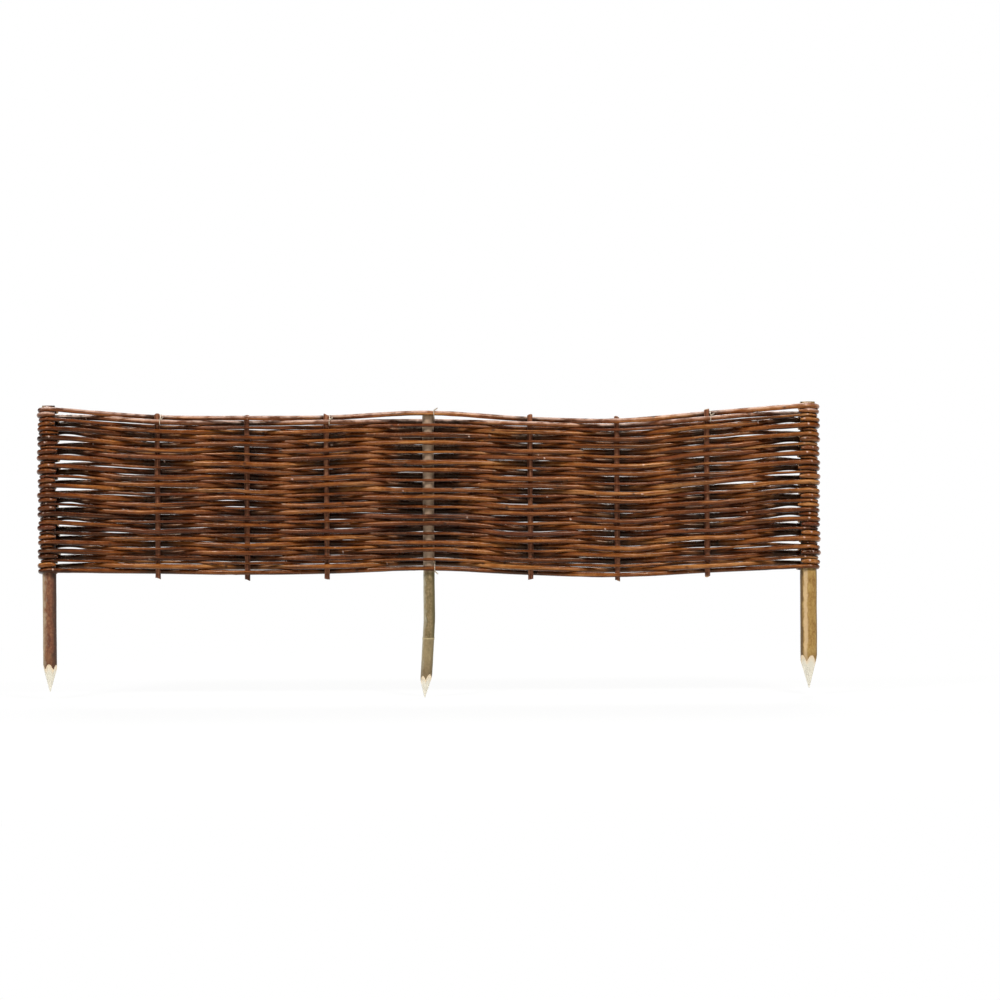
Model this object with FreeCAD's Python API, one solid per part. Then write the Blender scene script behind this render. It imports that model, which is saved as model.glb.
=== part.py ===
"""Woven willow hurdle: a low garden edging panel.

Long willow rods run in and out of nine uprights. Three of the uprights are pointed stakes that go into the
soil, the other six are thin sails that only hold the weave. Every rod turns back around both end stakes,
with a thinner rod after each two thick ones. A few wire ties hold the edge rods down.

Sizes are in millimetres. X runs along the panel, Y through it with the front at -Y, and Z is up. The origin
lies on the middle stake, at the ground line just under the weave, where the legs of the stakes begin.
"""
import FreeCAD, Part
import math
import os

# Length of the panel between the middles of its end stakes. The middle stake stands halfway.
PANEL_LENGTH = 1163.0

# Widths of the inner bays between the uprights, from left to right. The end bays take the rest.
LEFT_OUTER_BAY = 137.0
LEFT_INNER_BAY = 122.0
LEFT_MIDDLE_BAY = 156.0
RIGHT_MIDDLE_BAY = 156.0
RIGHT_INNER_BAY = 133.0
RIGHT_OUTER_BAY = 138.0

# Stakes: diameter of the leg, its loss above the ground line, length of the leg and of the cut point.
LEFT_STAKE_DIAMETER = 21.0
MIDDLE_STAKE_DIAMETER = 17.6
RIGHT_STAKE_DIAMETER = 25.2
LEFT_STAKE_LOSS = 4.0
MIDDLE_STAKE_LOSS = 0.8
RIGHT_STAKE_LOSS = 6.4
LEFT_LEG_LENGTH = 128.0
MIDDLE_LEG_LENGTH = 148.0
RIGHT_LEG_LENGTH = 121.0
LEFT_POINT_LENGTH = 42.0
MIDDLE_POINT_LENGTH = 34.0
RIGHT_POINT_LENGTH = 50.0
POINT_FACETS = 5
POINT_BLUNT = 0.6
LEFT_POINT_TURN = 2.0
MIDDLE_POINT_TURN = 36.0
RIGHT_POINT_TURN = 14.0
MIDDLE_ELBOW_DEPTH = 66.0
MIDDLE_ELBOW_ANGLE = 3.75
END_STAKE_STANDS_UP = 2.0
MIDDLE_STAKE_SITS_DOWN = 3.0

# Sails: thin uprights with a cut nub above and below the weave.
SAIL_DIAMETER = 8.8
SAIL_SIDES = 12
SAIL_NUB_TOP = 4.0
SAIL_NUB_BOTTOM = 7.0

# Rods of the weave.
COURSES = 35
THIN_EVERY = 3
THICK_BUTT_DIAMETER = 8.0
THICK_TIP_DIAMETER = 7.0
THIN_BUTT_DIAMETER = 5.0
THIN_TIP_DIAMETER = 4.1
ROD_SPREAD = 0.5
TAIL_LENGTH = 9.0
TAIL_SPREAD = 2.0
ROD_SIDES = 6
WRAP_STEPS = 4

# How closely the rods lie on the uprights and on each other.
SEAT_CLEARANCE = 0.3
COURSE_CLEARANCE = 0.25
LOOSE_GAP = 0.8
LOOSE_RARITY = 4
WRAP_GAP = 0.7
WRAP_DROP = 4.2
RISE_SHARE = 0.4
MIDDLE_TOP_GAP = 5.0
LAST_SAIL_FAN = 5.0

# Lower edge of the weave: its height over the ground at the middle stake, its rise at the end stakes and how
# far it hangs in between.
GROUND_CLEARANCE = 8.0
END_LIFT = 4.6
LEFT_SAG = 5.5
RIGHT_SAG = 10.0

# Wire ties.
WIRE_DIAMETER = 1.2
WIRE_BENDS = 8
WIRE_CLEARANCE = 0.2

left_bays = [LEFT_OUTER_BAY, LEFT_INNER_BAY, LEFT_MIDDLE_BAY]
right_bays = [RIGHT_MIDDLE_BAY, RIGHT_INNER_BAY, RIGHT_OUTER_BAY]
left_places = [-sum(left_bays[j:]) for j in range(len(left_bays))]
right_places = [sum(right_bays[:j + 1]) for j in range(len(right_bays))]
positions = [-PANEL_LENGTH / 2.0] + left_places + [0.0] + right_places + [PANEL_LENGTH / 2.0]
middle = positions.index(0.0)
last = len(positions) - 1
leg_diameters = {0: LEFT_STAKE_DIAMETER, middle: MIDDLE_STAKE_DIAMETER, last: RIGHT_STAKE_DIAMETER}
head_losses = {0: LEFT_STAKE_LOSS, middle: MIDDLE_STAKE_LOSS, last: RIGHT_STAKE_LOSS}
top_tie_uprights = (1, middle - 1, middle, last - 1)
wrap_step = math.pi / WRAP_STEPS
half_width = 1.0 / math.cos(math.pi / ROD_SIDES)
golden = (math.sqrt(5.0) - 1.0) / 2.0
front = -1.0
back = 1.0


def spread(number):
    """An even spread of values between -1 and 1, always the same for the same number."""
    return 2.0 * ((number * golden) % 1.0) - 1.0


def between(first, second, share):
    return first + (second - first) * share


def side_of(course, upright):
    """The even courses pass in front of the end and middle stakes, and the odd ones behind them."""
    return front if (course + upright) % 2 == 0 else back


def upright_radius(upright):
    """Radius of an upright within the weave."""
    return (leg_diameters.get(upright, SAIL_DIAMETER) - head_losses.get(upright, 0.0)) / 2.0


def lower_edge(upright):
    """The weave sits higher on the end stakes and hangs a little between the stakes."""
    end = 0 if upright < middle else last
    sag = LEFT_SAG if upright < middle else RIGHT_SAG
    share = positions[upright] / positions[end]
    return GROUND_CLEARANCE + END_LIFT * share - sag * math.sin(math.pi * share) ** 2


class Rod:
    """One rod of the weave: its course, its heights at the uprights and its growth from tip to butt."""

    def __init__(self, course):
        self.course = course
        growth = ROD_SPREAD * spread(course)
        if (course + 1) % THIN_EVERY == 0:
            ends = [THIN_BUTT_DIAMETER + growth, THIN_TIP_DIAMETER + growth]
        else:
            ends = [THICK_BUTT_DIAMETER + growth, THICK_TIP_DIAMETER + growth]
        if (course // 2) % 2 == 1:
            ends.reverse()
        self.left_diameter = ends[0]
        self.right_diameter = ends[1]
        self.heights = {}

    def diameter(self, upright):
        share = (positions[upright] - positions[0]) / (positions[last] - positions[0])
        return between(self.left_diameter, self.right_diameter, share)

    def radius(self, upright):
        return self.diameter(upright) / 2.0

    def offset(self, upright):
        """Distance of the rod's middle from the upright's middle where it passes."""
        seat = upright_radius(upright) + SEAT_CLEARANCE
        if upright in (0, last):
            seat = seat / math.cos(wrap_step / 2.0)
        return seat + self.radius(upright) * half_width


def stack_at_end(rods, upright):
    """At an end stake the rods turn around it side by side and drop a little behind it."""
    low = lower_edge(upright)
    for rod in rods:
        slot = low + rod.diameter(upright) / 2.0
        rod.heights[upright] = slot
        rod.heights[upright, front] = slot
        rod.heights[upright, back] = slot - WRAP_DROP
        low = low + rod.diameter(upright) + WRAP_GAP


def stack_inside(rods, upright):
    """At an inner upright all rods lie on each other, some with a loose gap, and fan out at the last sail."""
    low = lower_edge(upright)
    fan = LAST_SAIL_FAN / len(rods) if upright == last - 1 else 0.0
    for rod in rods:
        if upright == middle and rod is rods[-1]:
            low = low + MIDDLE_TOP_GAP
        rod.heights[upright] = low + rod.diameter(upright) / 2.0
        looseness = abs(spread(rod.course * len(positions) + upright)) ** LOOSE_RARITY
        low = low + rod.diameter(upright) + COURSE_CLEARANCE + LOOSE_GAP * looseness + fan


def outline(centre, across, over, radius, sides):
    """A closed outline of equal sides, with flats above and below."""
    corner = radius / math.cos(math.pi / sides)
    points = []
    for k in range(sides):
        angle = math.pi / 2.0 + 2.0 * math.pi * (k + 0.5) / sides
        points.append(centre + across * (corner * math.cos(angle)) + over * (corner * math.sin(angle)))
    return Part.makePolygon(points + [points[0]])


def ring(centre, across, radius):
    """A section of a rod, with flats towards the rods above and below."""
    return outline(centre, across, up, radius, ROD_SIDES)


def turn_rings(rod, upright, outward):
    """The rod's turn around an end stake, with a cut tail that lies along the rods beside it."""
    side = side_of(rod.course, upright)
    reach = rod.offset(upright)
    radius = rod.radius(upright)
    start = rod.heights[upright, side]
    finish = rod.heights[upright, -side]
    rings = []
    for k in range(WRAP_STEPS + 1):
        angle = k * wrap_step
        radial = FreeCAD.Vector(outward * math.sin(angle), side * math.cos(angle), 0.0)
        centre = FreeCAD.Vector(positions[upright], 0.0, between(start, finish, k / WRAP_STEPS))
        rings.append(ring(centre + radial * reach, radial * side, radius))
    neighbour = upright - int(outward)
    tail = TAIL_LENGTH + TAIL_SPREAD * spread(rod.course + upright)
    share = tail / abs(positions[neighbour] - positions[upright])
    slope = rod.heights[neighbour] - rod.heights[upright]
    if side == front:
        slope = slope + WRAP_DROP / RISE_SHARE
    end = FreeCAD.Vector(positions[upright] - outward * tail, -side * reach, finish + slope * share)
    rings.append(ring(end, FreeCAD.Vector(0.0, -1.0, 0.0), radius))
    return rings


def rise_ring(rod, upright, neighbour):
    """Where a rod that comes from behind an end stake is back at its own height."""
    start = side_of(rod.course, upright) * rod.offset(upright)
    finish = side_of(rod.course, neighbour) * rod.offset(neighbour)
    x = between(positions[upright], positions[neighbour], RISE_SHARE)
    y = between(start, finish, RISE_SHARE)
    z = between(rod.heights[upright], rod.heights[neighbour], RISE_SHARE)
    radius = between(rod.radius(upright), rod.radius(neighbour), RISE_SHARE)
    return ring(FreeCAD.Vector(x, y, z), depth, radius)


def rod_solid(rod):
    rings = turn_rings(rod, 0, -1.0)
    rings.reverse()
    if side_of(rod.course, 0) == back:
        rings.append(rise_ring(rod, 0, 1))
    for upright in range(1, last):
        y = side_of(rod.course, upright) * rod.offset(upright)
        centre = FreeCAD.Vector(positions[upright], y, rod.heights[upright])
        rings.append(ring(centre, depth, rod.radius(upright)))
    if side_of(rod.course, last) == back:
        rings.append(rise_ring(rod, last, last - 1))
    return Part.makeLoft(rings + turn_rings(rod, last, 1.0), True, True)


def weave_bottom(rods, upright):
    return rods[0].heights[upright] - rods[0].radius(upright)


def weave_top(rods, upright):
    return rods[-1].heights[upright] + rods[-1].radius(upright)


def sail_solid(rods, upright):
    low = weave_bottom(rods, upright) - SAIL_NUB_BOTTOM
    high = weave_top(rods, upright) + SAIL_NUB_TOP
    foot = FreeCAD.Vector(positions[upright], 0.0, low)
    section = Part.Face(outline(foot, along, depth, SAIL_DIAMETER / 2.0, SAIL_SIDES))
    return section.extrude(up * (high - low))


def facet_block(tip, shoulder, radius, angle):
    """What one flat cut takes away from the end of a stake."""
    outward = FreeCAD.Vector(math.cos(angle), math.sin(angle), 0.0)
    aside = outward.cross(up) * (2.0 * radius)
    slope = shoulder + outward * radius - tip - outward * POINT_BLUNT
    low = tip + outward * POINT_BLUNT - slope * 0.5
    high = low + slope * 2.0
    cut = Part.Face(Part.makePolygon([low - aside, low + aside, high + aside, high - aside, low - aside]))
    return cut.extrude(outward * (4.0 * radius))


def leaning_leg(radius, elbow, tip):
    """A leg of two straight lengths that meet on a slanting plane at the elbow."""
    lean = (elbow - tip).normalize()
    slant = (lean + up).normalize()
    reach = 2.0 * (elbow - tip).Length
    over = 2.0 * radius
    upper = Part.makeCylinder(radius, over - elbow.z, elbow - up * over, up)
    lower = Part.makeCylinder(radius, reach, tip, lean)
    upper = upper.common(Part.makeCylinder(2.0 * over, reach, elbow, slant))
    lower = lower.common(Part.makeCylinder(2.0 * over, reach, elbow, slant * -1.0))
    return upper.fuse(lower)


def stake_solid(upright, top, leg, point, turn, elbow_depth, lean):
    """A stake with a leg whose lower end may lean, and a point cut with flat facets."""
    radius = leg_diameters[upright] / 2.0
    foot = FreeCAD.Vector(positions[upright], 0.0, 0.0)
    elbow = foot - up * elbow_depth
    drift = FreeCAD.Vector(math.tan(math.radians(lean)), 0.0, 1.0)
    shoulder = elbow - drift * (leg - elbow_depth)
    tip = shoulder - drift * point
    if lean > 0.0:
        body = leaning_leg(radius, elbow, tip)
    else:
        body = Part.makeCylinder(radius, leg + point, tip, up)
    body = body.fuse(Part.makeCylinder(upright_radius(upright), top, foot, up))
    for k in range(POINT_FACETS):
        angle = math.radians(turn - 90.0) + 2.0 * math.pi * k / POINT_FACETS
        body = body.cut(facet_block(tip, shoulder, radius, angle))
    return body


def rod_at(rod, upright, x):
    """Middle of a rod beside an inner upright, on its way to the next one."""
    ahead = upright + 1
    share = (x - positions[upright]) / (positions[ahead] - positions[upright])
    start = side_of(rod.course, upright) * rod.offset(upright)
    finish = side_of(rod.course, ahead) * rod.offset(ahead)
    height = between(rod.heights[upright], rod.heights[ahead], share)
    return FreeCAD.Vector(x, between(start, finish, share), height)


def tie_solid(first, second, upright):
    """A flat loop of wire around two neighbouring rods, close beside an upright."""
    wire = WIRE_DIAMETER / 2.0
    x = positions[upright] + upright_radius(upright) + SEAT_CLEARANCE + wire
    ends = [rod_at(first, upright, x), rod_at(second, upright, x)]
    apart = (ends[1] - ends[0]).normalize()
    aside = along.cross(apart)
    thicker = max(first.radius(upright), second.radius(upright))
    reach = thicker * half_width + WIRE_CLEARANCE
    loops = []
    for distance in (reach, reach + WIRE_DIAMETER):
        half = distance / math.cos(math.pi / WIRE_BENDS)
        points = []
        for k in range(WIRE_BENDS):
            angle = 2.0 * math.pi * (k + 0.5) / WIRE_BENDS
            end = ends[1] if math.cos(angle) > 0.0 else ends[0]
            points.append(end + apart * (half * math.cos(angle)) + aside * (half * math.sin(angle)))
        loops.append(Part.Face(Part.makePolygon(points + [points[0]])))
    loop = loops[1].cut(loops[0])
    loop.translate(along * -wire)
    return loop.extrude(along * WIRE_DIAMETER)


def save(node, shape):
    shape.exportStep(os.path.join("parts", node + ".step"))


along = FreeCAD.Vector(1.0, 0.0, 0.0)
depth = FreeCAD.Vector(0.0, 1.0, 0.0)
up = FreeCAD.Vector(0.0, 0.0, 1.0)
os.makedirs("parts", exist_ok=True)

rods = [Rod(course) for course in range(COURSES)]
for upright in range(len(positions)):
    if upright in (0, last):
        stack_at_end(rods, upright)
    else:
        stack_inside(rods, upright)

for count, rod in enumerate(rods, 1):
    save("weaver_%02d" % count, rod_solid(rod))

sails = [upright for upright in range(last) if upright not in leg_diameters]
for count, upright in enumerate(sails, 1):
    save("sail_%d" % count, sail_solid(rods, upright))

left_top = weave_top(rods, 0) + END_STAKE_STANDS_UP
middle_top = weave_top(rods, middle) - MIDDLE_STAKE_SITS_DOWN
right_top = weave_top(rods, last) + END_STAKE_STANDS_UP
left_cut = (LEFT_LEG_LENGTH, LEFT_POINT_LENGTH, LEFT_POINT_TURN)
middle_cut = (MIDDLE_LEG_LENGTH, MIDDLE_POINT_LENGTH, MIDDLE_POINT_TURN)
right_cut = (RIGHT_LEG_LENGTH, RIGHT_POINT_LENGTH, RIGHT_POINT_TURN)
save("left_stake", stake_solid(0, left_top, *left_cut, 0.0, 0.0))
save("middle_stake", stake_solid(middle, middle_top, *middle_cut, MIDDLE_ELBOW_DEPTH, MIDDLE_ELBOW_ANGLE))
save("right_stake", stake_solid(last, right_top, *right_cut, 0.0, 0.0))

ties = [tie_solid(rods[-1], rods[-2], upright) for upright in top_tie_uprights]
ties.append(tie_solid(rods[0], rods[1], middle))
save("wire_ties", Part.makeCompound(ties))
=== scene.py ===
"""Looks of the woven willow hurdle: bark on every rod and stake, cut ends, wire ties, studio and camera.

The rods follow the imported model. Their sections are read from the frame, a smooth line is laid through them,
and bark, knots and cut ends are added along that line. Lengths are in metres, the front is at -Y, Z is up.
"""
import bpy
import math
import numpy as np
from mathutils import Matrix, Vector, noise


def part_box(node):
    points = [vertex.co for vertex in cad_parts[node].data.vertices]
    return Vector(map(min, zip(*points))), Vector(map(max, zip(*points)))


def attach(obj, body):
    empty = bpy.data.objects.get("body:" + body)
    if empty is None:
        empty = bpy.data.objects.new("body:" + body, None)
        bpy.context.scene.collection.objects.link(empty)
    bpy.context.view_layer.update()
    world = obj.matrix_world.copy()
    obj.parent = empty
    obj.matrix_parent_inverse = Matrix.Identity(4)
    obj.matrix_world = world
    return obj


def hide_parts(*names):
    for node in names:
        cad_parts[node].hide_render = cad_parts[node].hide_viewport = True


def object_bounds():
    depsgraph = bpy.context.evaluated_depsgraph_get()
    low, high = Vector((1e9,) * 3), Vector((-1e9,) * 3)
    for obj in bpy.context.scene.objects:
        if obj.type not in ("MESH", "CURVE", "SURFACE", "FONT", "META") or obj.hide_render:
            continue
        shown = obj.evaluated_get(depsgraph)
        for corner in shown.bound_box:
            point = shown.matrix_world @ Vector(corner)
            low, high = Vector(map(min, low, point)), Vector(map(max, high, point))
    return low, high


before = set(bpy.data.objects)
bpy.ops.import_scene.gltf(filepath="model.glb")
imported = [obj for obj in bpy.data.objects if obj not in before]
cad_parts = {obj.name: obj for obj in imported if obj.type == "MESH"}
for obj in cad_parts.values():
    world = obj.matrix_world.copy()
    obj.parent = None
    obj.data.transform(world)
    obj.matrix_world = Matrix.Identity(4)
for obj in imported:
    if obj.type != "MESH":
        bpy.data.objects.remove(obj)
cad_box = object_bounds()

# Fineness of the meshes: steps along and sides around.
ROD_STEP = 0.0024
ROD_SIDES = 12
TURN_STEPS = 30
TAIL_STEPS = 5
STAKE_STEP = 0.0022
STAKE_SIDES = 80
POINT_STEP = 0.0006
POINT_ZONE = 0.066
WIRE_SIDES = 8
LOOP_STEPS = 14
TWIST_STEPS = 22

# Starts of the random draws.
SETTLE_SEED = 11
TAIL_SEED = 12
ROD_SEED = 100
SAIL_SEED = 500
MARK_SEED = 900
BUD_SEED = 1300

# Waves of a slow random curve, and what their sum is divided by.
CURVE_WAVES = (0.6, 0.85, 1.2, 1.7)
CURVE_DIVISOR = 2.5

# Heights of the rods. At each edge the ties hold some of them.
HEIGHT_PLAY = 0.0004
DROP_PLAY = 0.0013
GAP_EVENING = 0.8
HELD_RODS = 2

# A rod wanders by itself and drifts with its neighbours, less so near the end stakes and edges.
ROD_WANDER = 0.0003
ROD_WANDER_LENGTH = 0.09
WEAVE_DRIFT = 0.003
DRIFT_SCALE = (9.0, 6.0)
DRIFT_LAYER = 0.37
FREE_LENGTH = 0.05
FREE_HEIGHT = 0.016
HELD_SHARE = 0.5

# The weave is lifted on the left, and its lower edge arches at the middle stake.
LEFT_LIFT = 0.0025
MIDDLE_ARCH = 0.0045
ARCH_REACH = 0.1
ARCH_HEIGHT = 0.13

# Two rods draw together over a thin one, by a share of half their distance.
PAIRING = (0.1, 0.26)
THIN_ROD = 0.003

# Behind an end stake some rods rise at once, by a height over a distance, and the others late.
CLOSED_SHARE = 0.42
QUICK_RISE = (0.0036, 0.016)
LATE_RISE = (0.0006, 0.026, 0.085)

# Thickness of a rod against its CAD section: it grows from front to back between two depths.
FRONT_FULLNESS = 1.02
BACK_FULLNESS = 1.2
MOST_FULLNESS = 1.38
TURN_FULLNESS = 1.1
BEHIND = (-0.007, 0.004)
BACK_BARK = 0.0005
THICKNESS_PLAY = 0.06
THICKNESS_LENGTH = 0.07
RIDGE_SIZE = 0.02
RIDGE_TURN = 6.0

# Bud knots, with width and turn as angles, and the share of their swelling that goes all around.
KNOT_SPACING = 0.085
KNOT_STEPS = (0.6, 1.5)
KNOT_LENGTH = 0.0036
KNOT_WIDTH = 0.75
KNOT_TURN = 2.4
KNOT_SIZES = (0.5, 1.3)
KNOT_SWELLING = 0.10
KNOT_RING = 0.35

# Slope of the cuts at the ends of a rod, and its play.
CUT_SLANT = 0.3
CUT_PLAY = (0.5, 1.2)

# Tails at the end stakes: how much longer, how much thinner at the end, and how far they tuck in.
TAIL_LENGTHENING = (0.001, 0.0065)
TAIL_TAPER = 0.35
TAIL_TUCK = 0.2

# Painted glints, pale spots outside the turns: share of rods on the left and right, place and size.
MARK_SHARES = (0.3, 0.75)
MARK_PLACE = (-0.008, 0.006)
MARK_LENGTH = 0.0019
MARK_RISE = (0.35, 0.4)

# Pale buds along the rods, with their width as an angle.
BUD_SPACING = 0.16
BUD_STEPS = (0.3, 1.7)
BUD_LENGTH = 0.0016
BUD_WIDTH = 0.45
BUD_STRENGTH = (0.4, 1.0)

# Painted shade inside the panel, on rod faces in the recesses: spread around a rod, and the depth where it is
# full.
INNER_SLOPE = 1.6
INNER_SPREAD = 0.4
INNER_DEPTH = 0.0085
INNER_POWER = 6

# Painted shade under and on a rod, in the grooves between rods: sines of the angles where it starts and is
# full, and strength.
UNDERSIDE = (0.2, 0.85, 0.8)
TOPSIDE = (0.75, 1.0, 0.3)

# Painted highlights outside the turns, between two distances from the stake, and along the top of the weave.
PAINTED_RIM_HIGHLIGHT = 0.9
PAINTED_RIM_REACH = (0.0145, 0.0178)
TOP_HIGHLIGHT_SLOPE = 1.2
TOP_HIGHLIGHT_SPREAD = 0.1

# Tone of a rod, with slow play along it, and shifts across the panel and at its ends.
ROD_TONE = 0.54
ROD_TONE_SPREAD = 0.14
ROD_TONE_LIMITS = (0.3, 0.8)
TONE_PLAY = 0.14
TONE_LENGTH = 0.3
SIDE_TONE = 0.07
LEFT_END_TONE = -0.1
RIGHT_END_TONE = 0.03
CUT_TONE = 0.5
MAUVE_RANGE = (-0.5, 0.9)
MAUVE_PLAY = 0.35
MAUVE_LENGTH = 0.45

# Sails: slope of their cuts, share of the knots' swelling, and tone, darker at the foot.
SAIL_SLANT = (0.15, 0.6)
SAIL_KNOTS = 0.5
SAIL_TONE = 0.5
SAIL_TONE_SPREAD = 0.08
SAIL_CUT_TONE = 0.2
SAIL_MAUVE = 0.5
SAIL_FOOT = 0.008
SAIL_FOOT_DARKNESS = 0.4

# Each rod and sail has its bark from another place in the pattern.
ROD_PATTERN_STEP = 3.0
SAIL_PATTERN_STEP = 5.0

# Wire of the ties: a loop with a little slack, and two ends twisted together at its front.
WIRE_RADIUS = 0.00055
WIRE_ACROSS = (1.0, 0.02, 0.03)
LOOP_SLACK = 1.06
TWIST_LENGTH = 0.007
TWIST_TURNS = 1.6
TWIST_SPREAD = 1.05
FRONT_SHARE = 0.6
TOP_TWIST = (0.55, -0.25, 0.35)
FOOT_TWIST = (0.55, -0.25, -0.5)
TIES_APART = 0.01

# Within the weave the stakes are thinner, and have another tone up to near their upper ends; on the end stakes
# that tone is painted shade.
HEAD_START = 0.008
HEAD_LENGTH = 0.010
HEAD_FULLNESS = 0.6
HEAD_END = (0.007, 0.004)

# The middle stake stands at the origin and leans to the left below this depth.
MIDDLE_AXIS = 0.0
ELBOW_DEPTH = 0.066

# Hollows in a stake's bark: size, and repeats in a metre across and up.
BARK_RELIEF = 0.00035
BROAD_RELIEF = (60.0, 18.0)
FINE_RELIEF = (260.0, 60.0)
FINE_SHARE = 0.45

# Cuts of a point: how steep they are, when two faces are one cut, and rounding of the edges.
CUT_FACING = (-0.6, -0.12)
SAME_FACING = 0.999
LEAST_FACING = 0.02
LEAST_RADIUS = 0.0004
EDGE_ROUNDING = 0.0002
CUT_MARGIN = 1e-6

# A cut is warmer towards its rim with the bark, and bark is darker at these heights over the tip.
RIM_WIDTH = 0.0026
FAR_FROM_RIM = 0.01
POINT_STAIN = (0.036, 0.062)

# A bud ring on the middle stake, with a pale line that fades out between two distances.
RING_HEIGHT = -0.092
RING_SWELLING = 0.0005
RING_WIDTH = 0.002
RING_LINE = (0.0004, 0.0014)

# Camera: the photograph's scale, and the pixel of the origin, on the middle stake at the ground line.
IMAGE_SIZE = 1000
METRES_PER_PIXEL = 0.0015326
GROUND_LINE_PIXEL = (428.5, 577.9)
CAMERA_DISTANCE = 4.0
CAMERA_ROLL = math.radians(0.35)
SENSOR_WIDTH = 36.0

# Studio: half the floor's width, and how much of its white is its own near the panel and far away.
FLOOR_REACH = 9.0
SHADOW_REACH = (0.5, 1.6)
FLOOR_GLOW = (0.9, 1.0)
WORLD_STRENGTH = 0.05
WHITE = (1.0, 1.0, 1.0, 1.0)

# Soft boxes: name, direction from the front and height in degrees, width, and power in watts.
LAMP_TARGET = (0.0, 0.0, 0.08)
LAMP_DISTANCE = 3.0
LAMPS = (
    ("key_left", -38.0, 44.0, 0.5, 40.5),
    ("key_right", 30.0, 44.0, 0.5, 40.5),
    ("side_left", -78.0, 22.0, 0.5, 7.0),
    ("side_right", 82.0, 20.0, 0.5, 9.0),
    ("top", 10.0, 80.0, 0.5, 15.0),
    ("back_right", 155.0, 44.0, 0.8, 40.0),
    ("back_left", -150.0, 40.0, 0.8, 28.0),
)

# Rods turn this near an end stake, in sections of this angle. Nearer than tiny is the same place.
END_ZONE = 0.03
SECTION_TURN = 45.0
TINY = 1e-5
UP = np.array([0.0, 0.0, 1.0])


def axis_of(node):
    """Place of an upright along the panel."""
    low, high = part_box(node)
    return (low[0] + high[0]) / 2.0


left_axis = axis_of("left_stake")
right_axis = axis_of("right_stake")
sail_nodes = sorted(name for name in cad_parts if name.startswith("sail"))
inner_uprights = [axis_of(name) for name in sail_nodes] + [MIDDLE_AXIS]


# Small helpers.
def colour(red, green, blue):
    """A colour given as it looks on the screen, from 0 to 255, for a shader socket."""
    values = []
    for value in (red, green, blue):
        share = value / 255.0
        values.append(share / 12.92 if share <= 0.04045 else ((share + 0.055) / 1.055) ** 2.4)
    return (*values, 1.0)


def part_way(value, low, high):
    """How far a value lies between two limits, from nought to one."""
    return np.clip((value - low) / (high - low), 0.0, 1.0)


def bell(distance, width):
    """One at no distance, and nearly nought beyond twice the width."""
    return np.exp(-(distance / width) ** 2)


def ease(t):
    """From nought to one, slowly at both ends."""
    return t * t * (3.0 - 2.0 * t)


def stretch_at(x, places):
    """The stretch between two places that each x lies in, and how far along it."""
    first = np.clip(np.searchsorted(places, x, side="right") - 1, 0, len(places) - 2)
    return first, (x - places[first]) / (places[first + 1] - places[first])


def ring_angles(sides):
    """Angles of the points of a ring."""
    return math.tau * np.arange(sides) / sides


def angle_apart(angles, turn):
    """Distance of angles from a direction, at most half a turn."""
    return np.abs((angles - turn + math.pi) % math.tau - math.pi)


def slow_curve(chance, along, wavelength):
    """A slow random curve along a rod, about between -1 and 1."""
    total = np.zeros_like(along)
    for share in CURVE_WAVES:
        total += np.sin(math.tau * (along / (wavelength * share) + chance.random()))
    return total / CURVE_DIVISOR


# Reading the rods from the frame.
def corner_points(node):
    """The distinct corners of a CAD node."""
    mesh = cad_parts[node].data
    points = np.empty(len(mesh.vertices) * 3)
    mesh.vertices.foreach_get("co", points)
    return np.unique(points.reshape(-1, 3).round(6), axis=0)


def section_key(point):
    """Corners with the same key belong to one section: by angle around an end stake, by place elsewhere."""
    x, y = point[:2]
    for side, beyond in (("left", left_axis - x), ("right", x - right_axis)):
        if beyond > TINY:
            return side, round(math.degrees(math.atan2(beyond, y)) / SECTION_TURN)
    beside_end = min(x - left_axis, right_axis - x) < END_ZONE
    return round(x, 4), beside_end and y > 0.0


class Rod:
    """One rod of the weave, with the middle and radius of its CAD sections from its left to its right end."""

    def __init__(self, node, number):
        self.node = node
        self.number = number
        sections = {}
        for point in corner_points(node):
            sections.setdefault(section_key(point), []).append(point)
        middles = np.array([np.mean(corners, axis=0) for corners in sections.values()])
        radii = np.array([np.ptp(np.array(corners)[:, 2]) / 2.0 for corners in sections.values()])
        inner = (middles[:, 0] > left_axis + END_ZONE) & (middles[:, 0] < right_axis - END_ZONE)
        passing = np.min(np.abs(middles[:, :1] - np.array(inner_uprights)), axis=1) < TINY
        order = np.argsort(middles[passing, 0])
        self.stations = middles[passing][order]
        self.radii = radii[passing][order]
        self.rises = middles[inner & ~passing]
        ends = ((left_axis, -1.0, 0), (right_axis, 1.0, -1))
        self.turns = [self.read_turn(middles, radii, *end) for end in ends]

    def read_turn(self, middles, radii, axis, outward, neighbour):
        """Where the rod meets an end stake, on which side, how far from it, and where its tail is cut."""
        near = np.abs(middles[:, 0] - axis) < END_ZONE
        side = -np.sign(self.stations[neighbour, 1])
        on_axis = near & (np.abs(middles[:, 0] - axis) < TINY)
        entry = on_axis & (middles[:, 1] * side > 0.0)
        leave = on_axis & (middles[:, 1] * side < 0.0)
        tail = near & ((axis - middles[:, 0]) * outward > TINY)
        return {
            "axis": axis,
            "outward": outward,
            "side": side,
            "reach": float(np.abs(middles[entry, 1])[0]),
            "start": float(middles[entry, 2][0]),
            "finish": float(middles[leave, 2][0]),
            "tail": middles[tail][0],
            "radius": float(radii[entry][0]),
        }


def read_rods():
    """All rods of the weave from the bottom up."""
    names = sorted(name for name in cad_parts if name.startswith("weaver"))
    return [Rod(name, number) for number, name in enumerate(names)]


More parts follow.
